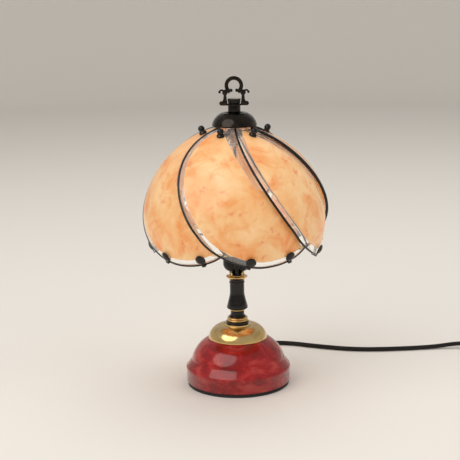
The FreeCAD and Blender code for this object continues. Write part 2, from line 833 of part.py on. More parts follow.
def side_points(side):
    """Places and turns along one side of a panel, in order round it."""
    steps = 20 if side == "hem" else 10
    shares = [k / steps for k in range(steps + 1)]
    last = hem(2)
    if side == "lead":
        return [(0.0, panel_top_turn + (belly_turn - panel_top_turn) * s) for s in shares]
    if side == "hem":
        return [hem(2 * s) for s in shares]
    return [(1.0, last[1] + (panel_top_turn - last[1]) * s) for s in shares]


def flat_curve(points, surface):
    curve = Part.Geom2d.BSplineCurve2d()
    curve.interpolate(Points=[Base.Vector2d(*p) for p in points])
    return curve.toShape(surface)


def glass_face(depth):
    surface = glass_surface(depth)
    edges = [flat_curve(side_points(side), surface) for side in ("lead", "hem", "trail")]
    top = Part.Geom2d.Line2dSegment(Base.Vector2d(1, panel_top_turn), Base.Vector2d(0, panel_top_turn))
    edges.append(top.toShape(surface))
    return Part.Face(surface, Part.Wire(edges)), edges


def make_glass():
    outer, outer_edges = glass_face(0)
    inner, inner_edges = glass_face(-glass_thickness)
    rims = [Part.makeRuledSurface(a, b) for a, b in zip(outer_edges, inner_edges)]
    skins = Part.Shell([outer, inner] + rims)
    skins.sewShape()
    glass = Part.Solid(skins)
    here, normal = fixing_frame()
    hole = Part.makeCylinder(fixing_hole_radius, 4 * glass_thickness, here - normal * 2 * glass_thickness, normal)
    glass = glass.cut(hole)
    for k in range(panel_count):
        keep(f"glass_panel_{k + 1}", spun(glass, 360 * k / panel_count))


def edge_frames(points):
    """Along a panel's edge: each point on its skin, the way past the edge, and the skin's way out."""
    spots = [skin(*point) for point in points]
    frames = []
    for k, here in enumerate(spots):
        along = spots[min(k + 1, len(spots) - 1)] - spots[max(k - 1, 0)]
        out = skin(*points[k], 1) - here
        frames.append((here, along.cross(out).normalize(), out))
    return frames


def channel_run(frames):
    """One length of the channel, through its section at each frame."""
    over = glazing_gap + edging_wall
    under = -glass_thickness - over
    section = [
        (edging_back, over), (edging_back, under), (-edging_lip, under), (-edging_lip, under + edging_wall),
        (glazing_gap, under + edging_wall), (glazing_gap, glazing_gap), (-edging_lip, glazing_gap),
        (-edging_lip, over),
    ]
    rows = [[here + past * a + out * b for here, past, out in frames] for a, b in section]
    curves = []
    for row in rows:
        curve = Part.BSplineCurve()
        curve.interpolate(row)
        curves.append(curve.toShape())
    walls = [Part.makeRuledSurface(a, b) for a, b in zip(curves, curves[1:] + curves[:1])]
    for k in (0, -1):
        corners = [row[k] for row in rows]
        walls.append(Part.makeFilledFace(Part.makePolygon(corners + corners[:1]).Edges))
    skins = Part.Shell(walls)
    skins.sewShape()
    return Part.Solid(skins)


def make_edging():
    """Channel that grips the glass round its leading edge, hem and trailing edge, open under the crown."""
    first = edge_frames(side_points("lead")[:-1] + side_points("hem"))
    second = edge_frames(side_points("trail"))
    here, hem_past, out = first[-1]
    trail_past = second[0][1]
    mitre = (hem_past + trail_past) * (1 / (1 + hem_past.dot(trail_past)))
    first[-1] = second[0] = (here, mitre, out)
    keep("panel_edging", all_round(channel_run(first).fuse(channel_run(second)).removeSplitter()))


def on_fixing(shape):
    """Stands a piece made on the origin, along +Z, on the glass at the first panel's fixing."""
    here, normal = fixing_frame()
    copy = shape.copy()
    copy.Placement = FreeCAD.Placement(here, FreeCAD.Rotation(Vector(0, 0, 1), normal))
    return copy


def all_round(shape):
    return Part.makeCompound([spun(shape, 360 * k / panel_count) for k in range(panel_count)])


def make_fixings():
    arm_under = fixing_stack() + spider_thickness
    shank = fixing_shank_radius
    knob = turned([
        (0, running_fit), (knob_foot_radius, running_fit), (knob_foot_radius, knob_foot_height),
        (knob_waist_radius, knob_waist_height), (knob_radius, knob_shoulder_height),
        (knob_radius, knob_height - knob_radius), domed(knob_radius, knob_height - knob_radius, knob_height),
    ])
    knob = knob.cut(Part.makeCylinder(shank, knob_bore_depth))
    screw = turned([
        (0, -arm_under - fixing_head_height), (fixing_head_radius, -arm_under - fixing_head_height),
        (fixing_head_radius, -arm_under), (shank, -arm_under), (shank, knob_bore_depth), (0, knob_bore_depth),
    ])
    washer = tube(fixing_washer_radius, shank + bore_gap, -fixing_stack(), fixing_washer_thickness)
    keep("panel_knobs", all_round(on_fixing(knob)))
    keep("panel_screws", all_round(on_fixing(screw)))
    keep("panel_washers", all_round(on_fixing(washer)))


# Clips and tie ring

def hem_slope(place, at, up):
    """Angle of the hem at a place, turned about the skin's normal, from level."""
    step = 0.01
    along = skin(place + step, hem_turn(place + step)) - skin(place - step, hem_turn(place - step))
    level = bearing(1, at + 90, 0)
    rising = along - level * along.dot(level)
    steep = math.degrees(math.atan2(rising.Length, along.dot(level)))
    return math.copysign(steep, rising.z)


def strip_solid(outline, width, base, out, up):
    """Bent strip from a side outline in (out, up) lengths, centred on the front meridian."""
    corners = [base + out * a + up * b for a, b in outline]
    face = Part.Face(Part.makePolygon(corners + corners[:1]))
    face.translate(Vector(-width / 2, 0, 0))
    return face.extrude(Vector(width, 0, 0))


def make_clips():
    buttons = []
    hooks = []
    for place in clip_places:
        turn = hem_turn(place)
        base, out = meridian_frame(place, turn)
        up = Vector(0, out.z, -out.y)
        at = lead(turn) + place * panel_span
        lean = hem_slope(place, at, up)
        for shape, group in ((clip_button(base, out, up), buttons), (clip_hook(base, out, up, lean), hooks)):
            shape.rotate(base, out, lean)
            group.append(spun(shape, at))
    keep("clip_buttons", Part.makeCompound([c for button in buttons for c in all_round(button).Solids]))
    keep("clip_hooks", Part.makeCompound([c for hook in hooks for c in all_round(hook).Solids]))
    radius, bottom = tie_ring_seat()
    hoop = tie_ring_thickness / 2
    keep("tie_ring", tube(radius + hoop, radius - hoop, bottom, tie_ring_height))


def tie_ring_seat():
    """Radius and lower edge of the tie ring, which runs inside the glass above the hems."""
    radius, height = meridian(tie_ring_turn)
    return radius - tie_ring_inset, height


def clip_front():
    return glazing_gap + edging_wall + running_fit


def clip_rear():
    return -glass_thickness - clip_front()


def clip_foot():
    return -edging_back - running_fit


def clip_button(base, out, up):
    """Round button on a neck that turns in under the hem."""
    front, rear, foot = clip_front(), clip_rear(), clip_foot()
    neck = strip_solid([
        (front, clip_button_rise), (front, foot), (rear, foot), (rear, foot - clip_strip),
        (front + clip_strip, foot - clip_strip), (front + clip_strip, clip_button_rise),
    ], clip_neck_width, base, out, up)
    button = turned([
        (0, front), (clip_button_radius, front), (clip_button_radius, front + 1),
        domed(clip_button_radius, front + 1, front + clip_button_thickness),
    ])
    centre = base + up * clip_button_rise
    button.Placement = FreeCAD.Placement(centre, FreeCAD.Rotation(Vector(0, 0, 1), out))
    return button.fuse(neck)


def clip_hook(base, out, up, lean):
    """Strip from the clip's foot up the inside of the glass and over the tie ring."""
    radius, bottom = tie_ring_seat()
    hoop = tie_ring_thickness / 2
    corners = [
        Vector(0, -radius + across, bottom + rise) - base
        for across in (-hoop, hoop) for rise in (0, tie_ring_height)
    ]
    tilt = math.radians(abs(lean))
    far = min(corner.dot(out) for corner in corners) - seat_gap
    top = max(corner.dot(up) for corner in corners) / math.cos(tilt) + clip_neck_width / 2 * math.tan(tilt)
    top = top + running_fit
    lip = top - tie_ring_height
    rear, foot = clip_rear(), clip_foot() - clip_strip
    head = rear - top * top / shade_radius
    inner = rear - clip_strip
    return strip_solid([
        (rear, foot), (rear, 0), (head, top + clip_strip), (far - clip_strip, top + clip_strip),
        (far - clip_strip, lip), (far, lip), (far, top), (head - clip_strip, top), (inner, 0), (inner, foot),
    ], clip_neck_width, base, out, up)


# Cord, in-line switch, coil and plug

def biarc(start, start_along, end, end_along):
    """Two arcs that join two points and keep the directions given there."""
    gap = end - start
    both = start_along + end_along
    spread = 2 * (1 - start_along.dot(end_along))
    reach = (-gap.dot(both) + math.sqrt(gap.dot(both) ** 2 + spread * gap.dot(gap))) / spread
    joint = (start + end + (start_along - end_along) * reach) * 0.5
    arcs = []
    for tip, along, far in ((start, start_along, joint), (end, end_along * -1, joint)):
        chord = far - tip
        half = along.getAngle(chord)
        side = (along * chord.Length - chord * math.cos(half)).normalize()
        middle = tip + chord * 0.5 + side * (chord.Length / 2 * math.tan(half / 2))
        arcs.append(Part.Arc(tip, middle, far).toShape() if tip is start else Part.Arc(far, middle, tip).toShape())
    return arcs


def coil_spot(turns):
    """Radius and height of the coil's middle line after a number of turns: in, up, out, up and so on."""
    half = coil_turns_in_layer * coil_pitch / 2
    layer_turns = coil_turns_in_layer + coil_change_turns
    layer = min(int(turns / layer_turns), coil_layers - 1)
    along = turns - layer * layer_turns
    start, end = (half, -half) if layer % 2 == 0 else (-half, half)
    radius = coil_middle_radius + start + (end - start) * min(along / coil_turns_in_layer, 1)
    lift = max(along - coil_turns_in_layer, 0) / coil_change_turns
    rise = (1 - math.cos(math.pi * lift)) / 2
    return radius, (layer + rise) * coil_pitch


def coil_point(centre, turns):
    """The coil runs clockwise, seen from above, from its rightmost point."""
    radius, rise = coil_spot(turns)
    angle = -2 * math.pi * turns
    return centre + Vector(radius * math.cos(angle), radius * math.sin(angle), rise)


def coil_along(centre, turns):
    step = 0.002
    return (coil_point(centre, turns + step) - coil_point(centre, max(turns - step, 0))).normalize()


def make_coil(centre):
    total = (coil_layers - 1) * (coil_turns_in_layer + coil_change_turns) + coil_last_turns
    quarters = round(total * 4)
    spots = [coil_point(centre, k / 4) for k in range(quarters + 1)]
    alongs = [coil_along(centre, k / 4) for k in range(quarters + 1)]
    alongs[0] = Vector(0, -1, 0)
    alongs[-1] = Vector(0, -1, 0)
    lead_in = spots[0] - alongs[0] * cord_diameter
    lead_out = spots[-1] + alongs[-1] * cord_diameter
    edges = [Part.makeLine(lead_in, spots[0])]
    for k in range(quarters):
        edges += biarc(spots[k], alongs[k], spots[k + 1], alongs[k + 1])
    edges.append(Part.makeLine(spots[-1], lead_out))
    wire = Part.Wire(edges)
    keep("cord_coil", swept(wire, cord_diameter / 2))
    report_coil(wire)
    return lead_in, lead_out


def report_coil(wire):
    """Prints the coil's length and its least gap to itself, measured on points a few millimetres apart."""
    points = wire.discretize(Number=700)
    step = wire.Length / 699
    skip = int(2.5 * cord_diameter / step) + 1
    least = min(
        (points[i] - points[j]).Length for i in range(len(points)) for j in range(i + skip, len(points))
    )
    print("coil length", round(wire.Length), "least gap", round(least - cord_diameter, 2))


def make_cords():
    radius = cord_diameter / 2
    first, first_radii = rounded_path(cord_to_switch)
    keep("power_cord", swept(first, radius))
    mouth = Vector(*cord_to_switch[-1])
    make_switch(mouth)
    leave = mouth + Vector(switch_length, 0, 0)
    relative = [leave] + [leave + Vector(*p) for p in cord_after_switch]
    coil_start = relative[-1]
    outer = coil_middle_radius + coil_turns_in_layer * coil_pitch / 2
    centre = coil_start + Vector(-outer, -cord_diameter, 0)
    _, lead_out = make_coil(centre)
    second, second_radii = rounded_path([tuple(p) for p in relative])
    keep("cord_after_switch", swept(second, radius))
    tail_points = [lead_out] + [lead_out + Vector(*p) for p in cord_tail]
    tail, tail_radii = rounded_path([tuple(p) for p in tail_points])
    keep("cord_tail", swept(tail, radius))
    print("cord radii", [round(r) for r in first_radii + second_radii + tail_radii])
    print("cord lengths", round(first.Length), round(second.Length), round(tail.Length))
    make_tie(centre)
    make_plug(tail_points[-1])
    make_gland()
    make_leads()


def make_gland():
    """Strain relief in the skirt's rear: a flanged sleeve that tapers along the cord."""
    flange = gland_flange_thickness
    inner_y = math.sqrt((skirt_radius - shell_wall) ** 2 - gland_flange_radius ** 2) - flange - bore_gap
    skirt_face = skirt_radius + bore_gap - inner_y
    end = cord_to_switch[0][1] - inner_y
    wire = cord_diameter / 2
    sleeve = turned([
        (wire, 0), (gland_flange_radius, 0), (gland_flange_radius, flange), (gland_radius, flange),
        (gland_radius, skirt_face), (wire + gland_tip_wall, end), (wire, end),
    ])
    sleeve.Placement = FreeCAD.Placement(
        Vector(0, inner_y, gland_height), FreeCAD.Rotation(Vector(0, 0, 1), Vector(0, 1, 0))
    )
    keep("cord_gland", sleeve)


def make_leads():
    """Two single leads from the cord's end, over the weight and up the tube to the lampholder."""
    over_weight = cover_top + weight_height + 3 * lead_diameter
    top = shell_bottom - 3
    leads = []
    for side in (-lead_spacing / 2, lead_spacing / 2):
        path, _ = rounded_path([
            (side, cord_to_switch[0][1], gland_height), (side, weight_radius + 8, gland_height),
            (side, weight_radius, over_weight), (side, tube_radius + 3, over_weight + 1.2),
            (side, 0, lead_hole_height + 6), (side, 0, top),
        ], 0.15)
        leads.append(swept(path, lead_diameter / 2))
    keep("lead_wires", Part.makeCompound(leads))


def make_switch(mouth):
    """Slim in-line switch in two halves, with a rocker through the upper one."""
    body_bottom = mouth.z - switch_mouth
    split = body_bottom + switch_height * 0.45
    half = switch_width / 2
    slim = cord_diameter / 2 + 2
    corners = [
        (0, -slim), (10, -half), (switch_length - 10, -half), (switch_length, -slim),
        (switch_length, slim), (switch_length - 10, half), (10, half), (0, slim),
    ]
    corners = [mouth + Vector(x, y, body_bottom - mouth.z) for x, y in corners]
    block = Part.Face(Part.makePolygon(corners + corners[:1])).extrude(Vector(0, 0, switch_height))
    uprights = [e for e in block.Edges if abs(e.tangentAt(e.FirstParameter).z) > 0.9]
    block = block.makeFillet(2.0, uprights)
    rims = [e for e in block.Edges if abs(e.BoundBox.ZMin - e.BoundBox.ZMax) < 1e-6]
    block = block.makeFillet(1.8, rims)
    middle = mouth + Vector(switch_length / 2, 0, 0)
    lower = block.common(Part.makeBox(200, 100, split - body_bottom, Vector(mouth.x - 50, mouth.y - 50, body_bottom)))
    upper = block.common(Part.makeBox(200, 100, 50, Vector(mouth.x - 50, mouth.y - 50, split)))
    well = Part.makeBox(
        rocker_length + 2 * seat_gap, rocker_width + 2 * seat_gap, switch_height,
        Vector(middle.x - rocker_length / 2 - seat_gap, middle.y - rocker_width / 2 - seat_gap, split),
    )
    top = body_bottom + switch_height
    pin_reach = rocker_width / 2 + seat_gap + rocker_pin_reach
    pivot = Vector(middle.x, middle.y - pin_reach, top - rocker_pin_drop)
    pin_hole = Part.makeCylinder(rocker_pin_radius + running_fit, 2 * pin_reach, pivot, Vector(0, 1, 0))
    keep("switch_base", lower)
    keep("switch_cover", upper.cut(well).cut(pin_hole))
    end_gap = Vector(0, bore_gap, 0)
    pin = Part.makeCylinder(rocker_pin_radius, 2 * (pin_reach - bore_gap), pivot + end_gap, Vector(0, 1, 0))
    make_rocker(middle, top, pin)


def make_rocker(middle, top, pin):
    """Rocker with two raised ends, on a pin through its middle."""
    half = rocker_length / 2 - 0.2
    depth = 3.4
    outline = [
        Vector(-half, 0, top - depth), Vector(half, 0, top - depth), Vector(half, 0, top + rocker_rise),
        Vector(-half, 0, top + rocker_rise),
    ]
    edges = [
        Part.makeLine(outline[3], outline[0]), Part.makeLine(outline[0], outline[1]),
        Part.makeLine(outline[1], outline[2]),
        Part.Arc(outline[2], Vector(0, 0, top + rocker_rise - 1.3), outline[3]).toShape(),
    ]
    face = Part.Face(Part.Wire(edges))
    face.translate(Vector(middle.x, middle.y - rocker_width / 2, 0))
    keep("switch_rocker", face.extrude(Vector(0, rocker_width, 0)).fuse(pin).removeSplitter())


def make_tie(centre):
    """Band round the coil's bundle at its left side."""
    reach = coil_turns_in_layer * coil_pitch / 2 + cord_diameter / 2
    low = math.sqrt((coil_middle_radius - reach) ** 2 - tie_width ** 2 / 4) - bore_gap
    high = coil_middle_radius + reach + bore_gap
    bottom = centre.z - cord_diameter / 2 - bore_gap
    top = centre.z + (coil_layers - 1) * coil_pitch + cord_diameter / 2 + bore_gap
    wall = tie_thickness
    outer = Part.makeBox(
        high - low + 2 * wall, tie_width, top - bottom + 2 * wall,
        Vector(centre.x - high - wall, centre.y - tie_width / 2, bottom - wall),
    )
    inner = Part.makeBox(high - low, tie_width, top - bottom, Vector(centre.x - high, centre.y - tie_width / 2, bottom))
    keep("coil_tie", outer.cut(inner))


def make_plug(rear):
    """Flat two-pin plug body with a tapered strain relief, lying beside the coil."""
    relief = turned([
        (0, 0), (cord_diameter / 2 + 0.8, 0), (cord_diameter / 2 + 2.4, 9), (0, 9),
    ])
    relief.Placement = FreeCAD.Placement(rear, FreeCAD.Rotation(Vector(0, 0, 1), Vector(0, -1, 0)))
    start = rear + Vector(0, -9, 0)
    half = plug_width / 2
    corners = [
        (-5, 0), (-half, -9), (-half, -plug_length), (half, -plug_length), (half, -9), (5, 0),
    ]
    corners = [start + Vector(x, y, -plug_height / 2) for x, y in corners]
    body = Part.Face(Part.makePolygon(corners + corners[:1])).extrude(Vector(0, 0, plug_height))
    body = body.makeFillet(2.0, [e for e in body.Edges if abs(e.tangentAt(e.FirstParameter).z) < 0.1])
    keep("plug_body", body.fuse(relief))
    face_y = start.y - plug_length
    pins = [
        Part.makeCylinder(plug_pin_radius, plug_pin_length, Vector(start.x + x, face_y, start.z), Vector(0, -1, 0))
        for x in (-plug_pin_spacing / 2, plug_pin_spacing / 2)
    ]
    keep("plug_pins", Part.makeCompound(pins))


def main():
    make_base()
    make_dome_cap()
    make_column()
    make_lampholder()
    make_harp()
    make_crown()
    make_glass()
    make_edging()
    make_fixings()
    make_clips()
    make_cords()
    os.makedirs("parts", exist_ok=True)
    for name, shape in parts.items():
        shape.exportStep(f"parts/{name}.step")


main()
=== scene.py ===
import bmesh
import bpy
import math
from mathutils import Matrix, Vector


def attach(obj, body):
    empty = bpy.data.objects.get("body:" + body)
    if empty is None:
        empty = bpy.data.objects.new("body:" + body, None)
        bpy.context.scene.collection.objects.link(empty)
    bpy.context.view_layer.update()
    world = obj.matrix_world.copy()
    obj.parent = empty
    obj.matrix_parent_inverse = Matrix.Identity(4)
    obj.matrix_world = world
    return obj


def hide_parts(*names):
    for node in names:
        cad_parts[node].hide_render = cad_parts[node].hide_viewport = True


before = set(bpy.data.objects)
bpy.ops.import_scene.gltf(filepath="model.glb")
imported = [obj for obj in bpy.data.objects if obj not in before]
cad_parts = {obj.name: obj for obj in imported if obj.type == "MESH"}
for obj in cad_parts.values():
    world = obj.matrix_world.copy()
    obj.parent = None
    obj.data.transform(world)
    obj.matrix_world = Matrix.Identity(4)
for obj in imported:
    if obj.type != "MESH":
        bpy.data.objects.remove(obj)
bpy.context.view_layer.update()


# Base
# A pressed dome shell in glossy red enamel, mottled like marble, that flows by a cove into a rolled bead
# over its skirt. A steel cover, a cast weight and a rubber ring close it underneath.

shell_wall = 0.0016
skirt_foot = 0.004
skirt_radius = 0.0565
skirt_edge = 0.0004
bead_foot = 0.0172
bead_top = 0.0208
bead_bulge = 0.0005
cove_bend = (0.0541, 0.0240)
dome_middle = (0.0188, 0.0211)
dome_radius = 0.0327
dome_start = 12.5
dome_end = 68.4
bore_radius = 0.0052
spin_steps = 128
bead_steps = 8
cove_steps = 10
dome_steps = 32
roll_segments = 3
hard_edge_angle = 30
weld_distance = 0.00001
flat_angle = 0.01
enamel_deep = (0.13, 0.0015, 0.003, 1)
enamel_red = (0.34, 0.006, 0.008, 1)
enamel_bloom = (0.52, 0.075, 0.060, 1)


def finish(name, colour, **sockets):
    """New material, its tree and its shader, with plain sockets set by name and _ for a space."""
    material = bpy.data.materials.new(name)
    material.use_nodes = True
    shader = material.node_tree.nodes["Principled BSDF"]
    shader.inputs["Base Color"].default_value = colour
    for socket, value in sockets.items():
        shader.inputs[socket.replace("_", " ")].default_value = value
    return material, material.node_tree, shader


def place_noise(tree, scale, detail, rough, stretch=(1, 1, 1), warp=0.0, shift=(0, 0, 0)):
    """Noise on the object's own place, in metres; scale is in waves to the metre."""
    spot = tree.nodes.new("ShaderNodeTexCoord")
    laid = tree.nodes.new("ShaderNodeMapping")
    laid.inputs["Scale"].default_value = stretch
    laid.inputs["Location"].default_value = shift
    noise = tree.nodes.new("ShaderNodeTexNoise")
    noise.inputs["Scale"].default_value = scale
    noise.inputs["Detail"].default_value = detail
    noise.inputs["Roughness"].default_value = rough
    noise.inputs["Distortion"].default_value = warp
    tree.links.new(spot.outputs["Object"], laid.inputs["Vector"])
    tree.links.new(laid.outputs["Vector"], noise.inputs["Vector"])
    return noise.outputs["Fac"]


def ramp(tree, factor, *stops):
    """Colour ramp over a factor, from (position, colour) pairs."""
    node = tree.nodes.new("ShaderNodeValToRGB")
    keys = node.color_ramp.elements
    while len(keys) < len(stops):
        keys.new(0.5)
    for key, (position, colour) in zip(keys, stops):
        key.position = position
        key.color = colour
    tree.links.new(factor, node.inputs["Fac"])
    return node.outputs["Color"]


def grey(value):
    """Colour of one even value."""
    return (value, value, value, 1)


def uneven_gloss(tree, shader, pattern, smooth, dull):
    """Roughness that follows a pattern, between two (pattern value, roughness) pairs."""
    stops = [(value, grey(roughness)) for value, roughness in (smooth, dull)]
    tree.links.new(ramp(tree, pattern, *stops), shader.inputs["Roughness"])


def bump(tree, shader, height, strength, distance):
    """Small relief on a surface, its distance in metres."""
    node = tree.nodes.new("ShaderNodeBump")
    node.inputs["Strength"].default_value = strength
    node.inputs["Distance"].default_value = distance
    tree.links.new(height, node.inputs["Height"])
    tree.links.new(node.outputs["Normal"], shader.inputs["Normal"])


def new_object(name, data):
    """Object in the scene that holds a mesh, curve, lamp or camera."""
    piece = bpy.data.objects.new(name, data)
    bpy.context.scene.collection.objects.link(piece)
    return piece


def smooth_mesh(name, shape):
    """Smooth-shaded mesh of a finished bmesh, which it frees."""
    for face in shape.faces:
        face.smooth = True
    mesh = bpy.data.meshes.new(name)
    shape.to_mesh(mesh)
    shape.free()
    return mesh


def dress(material, *nodes):
    """Gives CAD nodes a finish."""
    for node in nodes:
        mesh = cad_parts[node].data
        mesh.materials.clear()
        mesh.materials.append(material)


def roll_edges(piece, width):
    """Rolls a piece's hard edges over by a width."""
    roll = piece.modifiers.new("rolled_edges", "BEVEL")
    roll.width = width
    roll.segments = roll_segments
    roll.limit_method = "ANGLE"
    roll.angle_limit = math.radians(hard_edge_angle)
    roll.harden_normals = True


def soften(node, width, body="lamp"):
    """Stands a copy of a dressed CAD piece in its place, with its hard edges rolled over."""
    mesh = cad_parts[node].data.copy()
    shell = bmesh.new()
    shell.from_mesh(mesh)
    bmesh.ops.remove_doubles(shell, verts=shell.verts, dist=weld_distance)
    bmesh.ops.dissolve_limit(shell, angle_limit=flat_angle, verts=shell.verts, edges=shell.edges)
    for face in shell.faces:
        face.smooth = True
    shell.to_mesh(mesh)
    shell.free()
    piece = new_object(node + "_finished", mesh)
    roll_edges(piece, width)
    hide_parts(node)
    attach(piece, body)


def spin_outline(shape, outline, steps):
    """Spins a line of radii and heights about the Z axis."""
    line = [shape.verts.new((radius, 0, height)) for radius, height in outline]
    edges = [shape.edges.new(pair) for pair in zip(line, line[1:])]
    bmesh.ops.spin(
        shape, geom=line + edges, cent=(0, 0, 0), axis=(0, 0, 1), angle=2 * math.pi, steps=steps,
        use_merge=True,
    )


def spun_piece(name, outline, material):
    """Spun piece of the lamp's fixed body, its faces turned outwards."""
    shape = bmesh.new()
    spin_outline(shape, outline, spin_steps)
    bmesh.ops.recalc_face_normals(shape, faces=shape.faces)
    outward = sum(face.normal.dot(face.calc_center_median()) * face.calc_area() for face in shape.faces)
    if outward < 0:
        bmesh.ops.reverse_faces(shape, faces=shape.faces)
    mesh = smooth_mesh(name, shape)
    mesh.materials.append(material)
    piece = new_object(name, mesh)
    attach(piece, "lamp")
    return piece


def shell_outline():
    """Radii and heights up the shell's outside, from the skirt's foot to the bore under the cap."""
    skirt = [(skirt_radius - skirt_edge, skirt_foot), (skirt_radius, skirt_foot + skirt_edge)]
    for k in range(bead_steps + 1):
        angle = math.pi * k / bead_steps
        height = bead_foot + (bead_top - bead_foot) * (1 - math.cos(angle)) / 2
        skirt.append((skirt_radius + bead_bulge * math.sin(angle), height))
    middle, level = dome_middle
    dome = []
    for k in range(dome_steps + 1):
        angle = math.radians(dome_start + (dome_end - dome_start) * k / dome_steps)
        dome.append((middle + dome_radius * math.cos(angle), level + dome_radius * math.sin(angle)))
    ends = (skirt[-1], cove_bend, dome[0])
    cove = []
    for k in range(1, cove_steps):
        share = k / cove_steps
        pull = ((1 - share) ** 2, 2 * share * (1 - share), share ** 2)
        cove.append(tuple(sum(p * end[n] for p, end in zip(pull, ends)) for n in (0, 1)))
    return skirt + cove + dome + [(bore_radius, dome[-1][1])]


enamel, tree, shader = finish(
    "red_enamel", enamel_red, Specular_IOR_Level=0.15, Coat_Weight=0.75, Coat_Roughness=0.06
)
clouds = place_noise(tree, scale=48, detail=7, rough=0.66, stretch=(1, 1, 1.5), warp=0.5)
mottle = ramp(tree, clouds, (0.32, enamel_deep), (0.54, enamel_red), (0.74, enamel_bloom))
tree.links.new(mottle, shader.inputs["Base Color"])
uneven_gloss(tree, shader, clouds, (0.3, 0.2), (0.7, 0.34))
bump(tree, shader, place_noise(tree, scale=160, detail=3, rough=0.5), strength=0.05, distance=0.0006)
enamel_shell = spun_piece("enamel_shell", shell_outline(), enamel)
wall = enamel_shell.modifiers.new("pressed_wall", "SOLIDIFY")
wall.thickness = shell_wall
wall.offset = -1
wall.use_even_offset = True
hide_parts("base_shell")

rubber, tree, shader = finish("black_rubber", (0.012, 0.011, 0.011, 1), Roughness=0.75)
bump(tree, shader, place_noise(tree, scale=900, detail=3, rough=0.6), strength=0.25, distance=0.0003)
dress(rubber, "foot_ring", "panel_washers")

steel, tree, shader = finish("zinc_steel", (0.55, 0.55, 0.56, 1), Metallic=1.0)
drawn = place_noise(tree, scale=320, detail=4, rough=0.6, stretch=(1, 1, 6))
uneven_gloss(tree, shader, drawn, (0.35, 0.22), (0.7, 0.42))
dress(
    steel, "base_cover", "bottom_washer", "bottom_nut", "threaded_tube", "swivel_stud", "crown_hub",
    "hub_nut", "crown_spider", "panel_screws",
)

iron, tree, shader = finish("cast_iron", (0.05, 0.048, 0.046, 1), Roughness=0.7, Metallic=0.6)
bump(tree, shader, place_noise(tree, scale=420, detail=5, rough=0.7), strength=0.5, distance=0.0008)
dress(iron, "base_weight")


# Brass fittings
# Spun and turned brass, polished and lacquered: the dome's cap, the rings, the dish and the gallery.
# A few darker clouds show where the lacquer has aged.

brass_aged = (0.60, 0.38, 0.13, 1)
brass_bright = (0.78, 0.57, 0.25, 1)

brass, tree, shader = finish("polished_brass", brass_bright, Metallic=1.0, Coat_Weight=0.3)
age = place_noise(tree, scale=60, detail=5, rough=0.6, stretch=(1, 1, 2), warp=0.5)
tree.links.new(ramp(tree, age, (0.3, brass_aged), (0.6, brass_bright)), shader.inputs["Base Color"])
uneven_gloss(tree, shader, age, (0.3, 0.13), (0.75, 0.26))
dress(
    brass, "dome_cap", "brass_rings", "brass_collar", "brass_dish", "brass_gallery", "clip_hooks",
    "tie_ring",
)
for node in ("dome_cap", "brass_rings", "brass_collar"):
    soften(node, width=0.0003)
for node in ("brass_dish", "brass_gallery"):
    soften(node, width=0.0002)


# Black column
# Turned pieces with a deep glossy black lacquer, threaded on the rod between the brass rings.
# The tall one has a straight flare over its foot and a small ring under its head.

column_foot = 0.084
column_head = 0.117
column_radius = 0.0079
column_foot_radius = 0.0115
column_head_radius = 0.0086
column_ring_radius = 0.0084
column_outline = [
    (bore_radius, column_foot), (0.0106, column_foot), (0.0114, 0.0847), (column_foot_radius, 0.0860),
    (0.0096, 0.0930), (0.0083, 0.0985), (column_radius, 0.1015), (column_radius, 0.1124),
    (column_ring_radius, 0.1128), (column_ring_radius, 0.1140), (column_radius, 0.1144),
    (column_radius, 0.1156), (column_head_radius, column_head), (bore_radius, column_head),
    (bore_radius, column_foot),
]

lacquer, tree, shader = finish(
    "black_lacquer", (0.004, 0.0035, 0.0035, 1), Specular_IOR_Level=0.1, Coat_Weight=0.6,
    Coat_Roughness=0.05,
)
uneven_gloss(tree, shader, place_noise(tree, scale=140, detail=4, rough=0.6), (0.3, 0.14), (0.75, 0.3))
dress(lacquer, "neck_band", "column_spool", "clip_buttons", "panel_knobs")
black_column = spun_piece("black_column", column_outline, lacquer)
roll_edges(black_column, width=0.0004)
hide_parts("column")
soften("neck_band", width=0.0004)
soften("column_spool", width=0.0003)


# Lampholder and bulb
# A black moulded holder with a ribbed skirt and a shade ring, a white insert and a plated screw shell.
# The harp's saddle, ferrules and bow are satin black like it, and the bulb is frosted and lit.

moulded, tree, shader = finish("black_moulding", (0.006, 0.0055, 0.005, 1), Specular_IOR_Level=0.25)
uneven_gloss(tree, shader, place_noise(tree, scale=260, detail=3, rough=0.5), (0.3, 0.3), (0.7, 0.45))
dress(
    moulded, "lampholder_cup", "lampholder_shell", "lock_ring", "harp_saddle", "harp_ferrules",
    "harp_bow",
)
soften("lock_ring", width=0.0004)
soften("harp_saddle", width=0.0003)
soften("harp_ferrules", width=0.0003)
soften("harp_bow", width=0.0001)

glazed, tree, shader = finish("white_insulator", (0.80, 0.79, 0.75, 1), Coat_Weight=0.6)
uneven_gloss(tree, shader, place_noise(tree, scale=200, detail=3, rough=0.5), (0.3, 0.2), (0.7, 0.35))
dress(glazed, "lampholder_insert")

plated, tree, shader = finish("plated_contacts", (0.72, 0.62, 0.38, 1), Metallic=1.0)
uneven_gloss(tree, shader, place_noise(tree, scale=300, detail=3, rough=0.5), (0.3, 0.18), (0.7, 0.32))
dress(plated, "screw_shell", "centre_contact", "bulb_cap", "plug_pins")

frosted, tree, shader = finish(
    "lit_frosted_bulb", (1.0, 0.90, 0.70, 1), Roughness=0.5, Emission_Color=(1.0, 0.80, 0.48, 1),
    Emission_Strength=2.6,
)
dress(frosted, "bulb_glass")


# Crown and loop finial
# Dark bronzed castings: a stepped cap, a neck, a fluted cup and a lyre-shaped loop.
# The bronze is nearly black, with browner clouds and a few rubbed, brighter spots.

bronze_dark = (0.008, 0.006, 0.005, 1)
bronze_brown = (0.026, 0.017, 0.009, 1)
bronze_rubbed = (0.12, 0.075, 0.03, 1)

